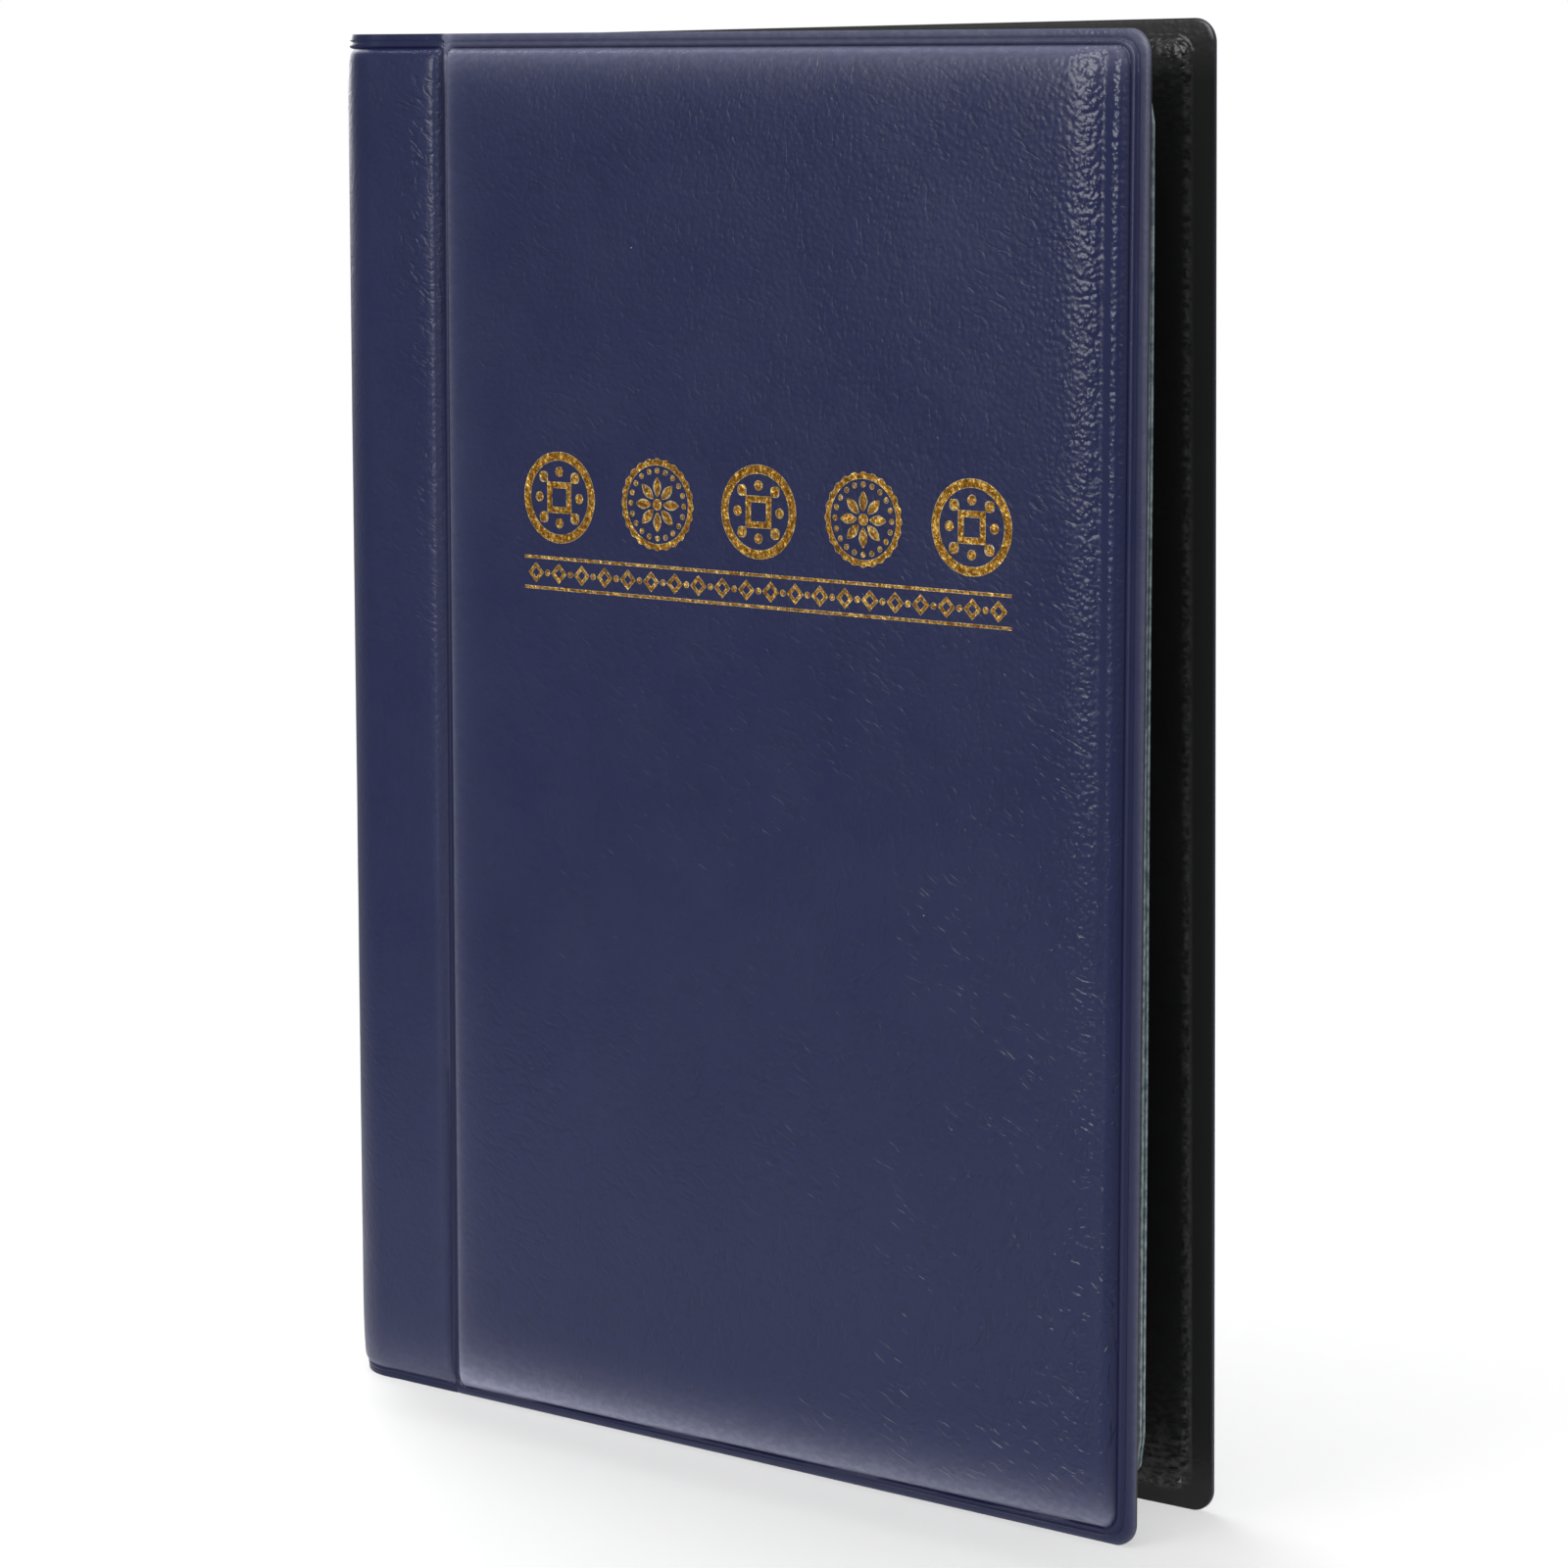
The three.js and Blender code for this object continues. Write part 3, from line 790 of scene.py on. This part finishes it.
def petal(centre, turn, start, length, width):
    """A leaf-shaped spot pointing outward from a centre."""
    t = np.linspace(0, 1, 13)
    reach = start + length * t
    half = width / 2 * np.sin(math.pi * np.clip(t, 0.02, 0.98)) ** 0.8
    across = np.stack([-half, -0.5 * half, 0.5 * half, half], -1)
    x = centre[0] + reach[:, None] * math.cos(turn) - across * math.sin(turn)
    z = centre[1] + reach[:, None] * math.sin(turn) + across * math.cos(turn)
    return foil_patch(x, z)


def holed_coin(centre):
    """A coin with a square hole, a broad rim and four leaf sprays."""
    yield ring(centre, ROUNDEL_RADIUS - 1.1, ROUNDEL_RADIUS)
    yield square_frame(centre, 1.15, 1.95)
    for _, turn in around(centre, 0, 4, math.pi / 4):
        yield petal(centre, turn, 2.75, 1.6, 1.5)
    for place, _ in around(centre, 3.2, 4):
        yield disc(place, 0.62)


def milled_coin(centre):
    """A coin with a scalloped rim, a ring of beads and a rosette."""
    turns = full_turn(145)
    scallop = ROUNDEL_RADIUS - 0.12 + 0.12 * np.cos(24 * turns)
    yield foil_strip(np.full_like(turns, ROUNDEL_RADIUS - 0.9), scallop, centre, turns)
    for place, _ in around(centre, ROUNDEL_RADIUS - 1.55, 20):
        yield disc(place, 0.36, 12)
    for _, turn in around(centre, 0, 8):
        yield petal(centre, turn, 0.95, 2.4, 1.25)
    yield disc(centre, 0.7)


def lozenge_band():
    """Two rules with lozenges and beads between them."""
    low, high = BAND_Z
    middle = (low + high) / 2
    columns = np.linspace(*FOIL_ROW_X, 90)
    for line in (low + RULE_HALF, high - RULE_HALF):
        rows = line + RULE_HALF * np.array([-1, -0.5, 0.5, 1])
        yield foil_patch(*np.meshgrid(columns, rows, indexing="ij"))
    pitch = (FOIL_ROW_X[1] - FOIL_ROW_X[0]) / LOZENGES
    for n in range(LOZENGES):
        yield square_frame((FOIL_ROW_X[0] + (n + 0.5) * pitch, middle), 0.42, 0.9, math.pi / 4, 33)
    for n in range(1, LOZENGES):
        yield disc((FOIL_ROW_X[0] + n * pitch, middle), 0.42, 14)


def add_foil(material):
    first = FOIL_ROW_X[0] + ROUNDEL_RADIUS
    pitch = (FOIL_ROW_X[1] - FOIL_ROW_X[0] - 2 * ROUNDEL_RADIUS) / (FOIL_ROUNDELS - 1)
    for n in range(FOIL_ROUNDELS):
        coin = milled_coin if n % 2 else holed_coin
        foil_piece(f"foil_roundel_{n + 1}", list(coin((first + n * pitch, ROUNDEL_Z))), material)
    foil_piece("foil_band", list(lozenge_band()), material)


# ---------------- material helpers


def new_material(name):
    material = bpy.data.materials.new(name)
    material.use_nodes = True
    tree = material.node_tree
    return material, tree, tree.nodes["Principled BSDF"]


def add(tree, kind, inputs=None, **settings):
    """Adds a node with its settings and inputs; an input that is a socket is linked."""
    node = tree.nodes.new(kind)
    for key, value in settings.items():
        setattr(node, key, value)
    for key, value in (inputs or {}).items():
        if isinstance(value, bpy.types.NodeSocket):
            tree.links.new(value, node.inputs[key])
        else:
            node.inputs[key].default_value = value
    return node


def object_millimetres(tree, drawn=(1, 1, 1), turn=0):
    """Object coordinates in millimetres. A texture in them can be drawn out along each axis, and then
    turned about Y by an angle in degrees."""
    coordinates = add(tree, "ShaderNodeTexCoord").outputs["Object"]
    inputs = {"Vector": coordinates, "Scale": [d * MM for d in drawn], "Rotation": (0, math.radians(turn), 0)}
    return add(tree, "ShaderNodeMapping", inputs, vector_type="TEXTURE").outputs[0]


def noise(tree, vector, scale, detail=3, roughness=0.5, distortion=0.0):
    inputs = {"Vector": vector, "Scale": scale, "Detail": detail, "Roughness": roughness}
    inputs["Distortion"] = distortion
    return add(tree, "ShaderNodeTexNoise", inputs).outputs["Fac"]


def cells(tree, vector, scale, feature="F1"):
    inputs = {"Vector": vector, "Scale": scale}
    return add(tree, "ShaderNodeTexVoronoi", inputs, feature=feature).outputs["Distance"]


def math_node(tree, operation, a, b=0.0):
    return add(tree, "ShaderNodeMath", {0: a, 1: b}, operation=operation).outputs[0]


def attribute(tree, name):
    return add(tree, "ShaderNodeAttribute", attribute_name=name).outputs["Fac"]


def ramp(tree, value, stops):
    node = add(tree, "ShaderNodeValToRGB", {"Fac": value})
    elements = node.color_ramp.elements
    while len(elements) < len(stops):
        elements.new(0.5)
    for element, (place, colour) in zip(elements, stops):
        element.position = place
        element.color = (*colour, 1)
    return node.outputs["Color"]


def mix(tree, factor, a, b):
    node = add(tree, "ShaderNodeMix", data_type="RGBA")
    for key, value in (("Factor", factor), ("A", a), ("B", b)):
        if isinstance(value, bpy.types.NodeSocket):
            tree.links.new(value, node.inputs[key])
        else:
            node.inputs[key].default_value = value if key == "Factor" else (*value, 1)
    return node.outputs["Result"]


def grey(value):
    return (value, value, value)


def between(tree, value, low, high):
    """0 below low to 1 above high."""
    inputs = {"Value": value, "From Min": low, "From Max": high}
    return add(tree, "ShaderNodeMapRange", inputs, interpolation_type="SMOOTHSTEP").outputs[0]


def mapped(tree, value, goal, source=(0, 1)):
    """A value's source range laid on a goal range, and held at its ends."""
    keys = ("From Min", "From Max", "To Min", "To Max")
    return add(tree, "ShaderNodeMapRange", {"Value": value, **dict(zip(keys, (*source, *goal)))}).outputs[0]


def add_bump(tree, shader, height, depth, strength=1.0):
    """Bump from a height. Its depth is in millimetres."""
    inputs = {"Strength": strength, "Distance": depth * MM, "Height": height}
    tree.links.new(add(tree, "ShaderNodeBump", inputs).outputs[0], shader.inputs["Normal"])


# ---------------- materials


def creases(tree, turn, length, scale, width):
    """Short creases that run one way, 1 along their middles: where a drawn-out noise passes its mean."""
    value = noise(tree, object_millimetres(tree, (length, 1, 1), turn), scale, 2, 0.4, 0.4)
    away = math_node(tree, "ABSOLUTE", math_node(tree, "SUBTRACT", value, 0.5))
    return mapped(tree, away, (1, 0), (0, width))


def leather_height(tree):
    """Grained plastic: creases that run up the sheet in some patches and across it in others, and pebbles."""
    place = object_millimetres(tree)
    patches = noise(tree, place, 0.06, 1)
    upright, level = creases(tree, -72, 2.2, 0.85, 0.09), creases(tree, 24, 2.4, 0.75, 0.1)
    upright = math_node(tree, "MULTIPLY", upright, between(tree, patches, 0.56, 0.44))
    level = math_node(tree, "MULTIPLY", level, between(tree, patches, 0.42, 0.54))
    broken = between(tree, noise(tree, place, 0.45, 1), 0.4, 0.56)
    lines = math_node(tree, "MULTIPLY", math_node(tree, "MAXIMUM", upright, level), broken)
    return lines, cells(tree, place, 1.6, feature="SMOOTH_F1")


def scaled(tree, value, mark, plain, marked):
    """A height times one factor away from a mark and another where the mark is 1."""
    return math_node(tree, "MULTIPLY", value, mapped(tree, attribute(tree, mark), (plain, marked)))


def leather_bump(tree, shader, grain, crumpling):
    """Bump for both leatherettes: pebbles where the sheet is stretched, and creases where it is wrinkled."""
    lines, pebbles = leather_height(tree)
    crumple = noise(tree, object_millimetres(tree, (1.5, 1, 1)), 1.1, 2, 0.5, 0.3)
    height = scaled(tree, pebbles, "stretch", -0.16, -0.8)
    for value, mark, plain, marked in (
        (crumple, "stretch", 0, crumpling),
        (lines, "wrinkle", -0.08, -0.36),
        (crumple, "wrinkle", 0, 0.5),
    ):
        height = math_node(tree, "ADD", height, scaled(tree, value, mark, plain, marked))
    add_bump(tree, shader, scaled(tree, height, "rim", 1, 0.2), grain)
    return lines


def specks(tree, spacing, size):
    """Rare tiny dots of dust or lint."""
    place = object_millimetres(tree)
    voronoi = add(tree, "ShaderNodeTexVoronoi", {"Vector": place, "Scale": 1 / spacing})
    dot = between(tree, voronoi.outputs["Distance"], size / spacing, 0.4 * size / spacing)
    chance = add(tree, "ShaderNodeSeparateColor", {0: voronoi.outputs["Color"]}).outputs[0]
    return math_node(tree, "MULTIPLY", dot, between(tree, chance, 0.6, 0.65))


def leatherette(name, dark, light, sheen_tone, pressed, mottling, grain, crumpling, roughness, specular):
    """Grained plastic sheet. The sheen tone is a painted highlight for the padding's edges, pressed its tone
    where it is welded flat, mottling is how patchy that painted highlight is, and grain is the scale of its
    relief in millimetres."""
    material, tree, shader = new_material(name)
    lines = leather_bump(tree, shader, grain, crumpling)
    place = object_millimetres(tree)
    tone = ramp(tree, noise(tree, place, 0.035, 4, 0.6), [(0.3, dark), (0.7, light)])
    # Painted shade: the base colour is darkened along the creases.
    tone = mix(tree, math_node(tree, "MULTIPLY", lines, 0.12), tone, grey(0.0))
    tone = mix(tree, attribute(tree, "rim"), tone, pressed)
    patchy = noise(tree, object_millimetres(tree, (1.8, 1, 1)), 1.5, 2, 0.5)
    uneven = mapped(tree, patchy, (1 - mottling, 1), (0.42, 0.62))
    # Painted highlight: the paler tone is laid where the marks call for it, in uneven patches.
    patchy_sheen = math_node(tree, "MULTIPLY", attribute(tree, "painted_sheen"), uneven)
    tone = mix(tree, patchy_sheen, tone, sheen_tone)
    tone = mix(tree, specks(tree, 9, 0.1), tone, grey(0.5))
    tree.links.new(tone, shader.inputs["Base Color"])
    stops = [(0.3, grey(roughness - 0.04)), (0.7, grey(roughness + 0.05))]
    smudges = ramp(tree, noise(tree, place, 0.09, 3, 0.55), stops)
    glossier = mix(tree, attribute(tree, "stretch"), smudges, grey(roughness - 0.1))
    tree.links.new(glossier, shader.inputs["Roughness"])
    shader.inputs["Specular IOR Level"].default_value = specular
    return material


def gold_foil():
    """Hot-stamped foil that follows the grain, with bright flecks and a thin pale edge."""
    material, tree, shader = new_material("gold_leaf")
    lines, pebbles = leather_height(tree)
    place = object_millimetres(tree)
    flecks = noise(tree, place, 2.4, 3, 0.65)
    golds = [(0.36, (0.14, 0.055, 0.003)), (0.52, (0.31, 0.14, 0.008)), (0.68, (0.85, 0.55, 0.13))]
    gaps = between(tree, noise(tree, place, 1.1, 2), 0.3, 0.5)
    broken = math_node(tree, "MULTIPLY", attribute(tree, "edge"), gaps)
    pale = mix(tree, math_node(tree, "MULTIPLY", broken, 0.75), ramp(tree, flecks, golds), (0.55, 0.52, 0.4))
    tree.links.new(pale, shader.inputs["Base Color"])
    shader.inputs["Metallic"].default_value = 0.75
    tree.links.new(ramp(tree, flecks, [(0.3, grey(0.5)), (0.7, grey(0.3))]), shader.inputs["Roughness"])
    height = math_node(tree, "SUBTRACT", math_node(tree, "MULTIPLY", flecks, 1.4), lines)
    add_bump(tree, shader, math_node(tree, "ADD", height, math_node(tree, "MULTIPLY", pebbles, -0.5)), 0.1)
    return material


def clear_film():
    """Soft clear sheet, a little grey-green, milky along its welds and cut edges."""
    material, tree, shader = new_material("clear_pvc")
    place = object_millimetres(tree)
    weld = attribute(tree, "weld")
    haze = noise(tree, place, 0.05, 3, 0.5)
    tint = ramp(tree, haze, [(0.3, (0.3, 0.4, 0.43)), (0.7, (0.4, 0.5, 0.53))])
    frosts = [(0.35, (0.15, 0.21, 0.24)), (0.65, (0.45, 0.54, 0.57))]
    frost = ramp(tree, noise(tree, place, 0.9, 3, 0.6), frosts)
    tree.links.new(mix(tree, weld, tint, frost), shader.inputs["Base Color"])
    shader.inputs["Roughness"].default_value = 0.18
    shader.inputs["IOR"].default_value = 1.5
    tree.links.new(mapped(tree, weld, (0.26, 0.8)), shader.inputs["Alpha"])
    ripple = noise(tree, place, 0.16, 3, 0.6)
    fine = noise(tree, place, 2.2, 2, 0.5)
    height = math_node(tree, "ADD", ripple, scaled(tree, fine, "weld", 0.05, 0.45))
    add_bump(tree, shader, height, 0.1, 0.6)
    return material


def textured(name, height, tones, roughness, depth):
    """A plain rough material whose tone and bump come from one height."""
    material, tree, shader = new_material(name)
    value = height(tree)
    tree.links.new(ramp(tree, value, tones), shader.inputs["Base Color"])
    shader.inputs["Roughness"].default_value = roughness
    add_bump(tree, shader, value, depth, 0.8)
    return material


def foam_material():
    """White foam sheet with open cells."""

    def pores(tree):
        return cells(tree, object_millimetres(tree), 2.4)

    tones = [(0.0, (0.38, 0.36, 0.3)), (0.4, (0.62, 0.6, 0.53)), (0.8, (0.7, 0.69, 0.63))]
    return textured("foam_sheet", pores, tones, 0.95, 0.15)


def board_material():
    """Grey pulp board with fibres along its height."""

    def fibres(tree):
        return noise(tree, object_millimetres(tree, (1, 1, 3)), 1.3, 5, 0.7)

    tones = [(0.3, (0.2, 0.18, 0.15)), (0.55, (0.34, 0.31, 0.27)), (0.75, (0.42, 0.39, 0.35))]
    return textured("grey_board", fibres, tones, 0.9, 0.05)


def binding_material():
    """Black strip of fused plastic, in fine ridges where the leaves' roots were melted together."""

    def ridges(tree):
        return noise(tree, object_millimetres(tree, (1, 1, 6)), 0.9, 4, 0.6)

    tones = [(0.3, grey(0.006)), (0.7, grey(0.014))]
    return textured("fused_binding", ridges, tones, 0.42, 0.12)


# ---------------- floor, light and camera

CAMERA_TARGET = Vector((5.742, 0.0, 95.41)) * MM
CAMERA_AZIMUTH = 37.64
CAMERA_ELEVATION = 7.59
CAMERA_DISTANCE = 559.4 * MM
CAMERA_LENS = 105.15
CAMERA_SHIFT = -0.06
FLOOR_PLAIN = 0.06  # metres from the middle where the floor begins to fade, and where it ends
FLOOR_END = 0.36
FLOOR_DENSITY = 0.45
FLOOR_THICKNESS = 5
WORLD_LIGHT = 0.3


def backward(azimuth, elevation):
    """The direction towards a viewer at an azimuth and elevation in degrees."""
    azimuth, elevation = math.radians(azimuth), math.radians(elevation)
    flat = math.cos(elevation)
    return Vector((math.sin(azimuth) * flat, -math.cos(azimuth) * flat, math.sin(elevation)))


def aim(name, data, place, target):
    item = bpy.data.objects.new(name, data)
    item.location = place
    item.rotation_mode = "QUATERNION"
    item.rotation_quaternion = (target - place).to_track_quat("-Z", "Y")
    bpy.context.scene.collection.objects.link(item)
    return item


def add_camera():
    camera = bpy.data.cameras.new("camera")
    camera.lens = CAMERA_LENS
    camera.sensor_width = 36
    camera.shift_y = CAMERA_SHIFT
    camera.clip_start = 0.01
    camera.clip_end = 100
    place = CAMERA_TARGET + CAMERA_DISTANCE * backward(CAMERA_AZIMUTH, CAMERA_ELEVATION)
    bpy.context.scene.camera = aim("camera", camera, place, CAMERA_TARGET)


def area_light(name, azimuth, elevation, distance, size, watts):
    """A soft box that looks at the middle of the album. Its distance and size are in metres."""
    light = bpy.data.lights.new(name, "AREA")
    light.shape = "RECTANGLE"
    light.size, light.size_y = size
    light.energy = watts
    target = Vector((0, 0, HEIGHT / 2)) * MM
    aim(name, light, target + distance * backward(azimuth, elevation), target)


def add_floor():
    """A pale table top that fades out, so that it meets the white background without a line."""
    material, tree, shader = new_material("pale_floor")
    place = object_millimetres(tree)
    tone = ramp(tree, noise(tree, place, 0.01, 3, 0.5), [(0.3, grey(0.84)), (0.7, grey(0.86))])
    tree.links.new(tone, shader.inputs["Base Color"])
    shader.inputs["Roughness"].default_value = 0.8
    shader.inputs["Specular IOR Level"].default_value = 0.2
    shader.inputs["Emission Color"].default_value = (1, 1, 1, 1)
    shader.inputs["Emission Strength"].default_value = 0.1
    away = add(tree, "ShaderNodeVectorMath", {0: place}, operation="LENGTH").outputs["Value"]
    fade = between(tree, away, FLOOR_END / MM, FLOOR_PLAIN / MM)
    tree.links.new(math_node(tree, "MULTIPLY", fade, FLOOR_DENSITY), shader.inputs["Alpha"])
    places = np.linspace(-1, 1, 9) * FLOOR_END / MM
    x, y = np.meshgrid(places, places, indexing="ij")
    top, under = np.stack([x, y, 0 * x], -1), np.stack([x, y, 0 * x - FLOOR_THICKNESS], -1)
    grid_shell("floor", top, under, material)


def add_world():
    """White behind everything, and a dimmer grey as light."""
    world = bpy.data.worlds.new("studio")
    bpy.context.scene.world = world
    world.use_nodes = True
    tree = world.node_tree
    background = tree.nodes["Background"]
    background.inputs["Color"].default_value = (1, 1, 1, 1)
    seen = add(tree, "ShaderNodeLightPath").outputs["Is Camera Ray"]
    tree.links.new(mapped(tree, seen, (WORLD_LIGHT, 1)), background.inputs["Strength"])
    bpy.context.scene.view_settings.view_transform = "Standard"


# ---------------- building

NAVY = leatherette(
    "navy_leatherette",
    dark=(0.012, 0.0165, 0.066),
    light=(0.0148, 0.0198, 0.074),
    sheen_tone=(0.32, 0.33, 0.45),
    pressed=(0.0095, 0.0125, 0.055),
    mottling=0.2,
    grain=0.2,
    crumpling=0.3,
    roughness=0.34,
    specular=0.36,
)
BLACK = leatherette(
    "black_leatherette",
    dark=grey(0.011),
    light=grey(0.013),
    sheen_tone=grey(0.09),
    pressed=grey(0.025),
    mottling=1.0,
    grain=0.1,
    crumpling=2.0,
    roughness=0.36,
    specular=0.35,
)
CLEAR = clear_film()
FOAM = foam_material()
BOARD = board_material()

for side_name, side in SIDES:
    cover_sheet(side_name, side, NAVY)
    corner_sheet(side_name, side, NAVY)
    cover_lining(side_name, side, BLACK)
    corner_lining(side_name, side, BLACK)
    corner_foam(side_name, side, FOAM)
    cover_foam(side_name, side, FOAM)
    cover_board(side_name, side, BOARD)
for leaf_number in range(1, LEAVES + 1):
    leaf(leaf_number, CLEAR)
add_foil(gold_foil())


def paint(node, material):
    """Gives a CAD node that stays its material."""
    materials = frame["nodes"][node].data.materials
    materials.clear()
    materials.append(material)


paint("binding_block", binding_material())

add_floor()
add_world()
add_camera()
area_light("overhead", azimuth=0, elevation=82, distance=1.2, size=(0.75, 0.75), watts=7)
area_light("front_box", azimuth=-12, elevation=16, distance=1.2, size=(0.45, 0.5), watts=6)
area_light("left_strip", azimuth=-118, elevation=26, distance=1.2, size=(0.8, 1.0), watts=15)
area_light("right_box", azimuth=68, elevation=26, distance=1.3, size=(0.6, 0.7), watts=4)
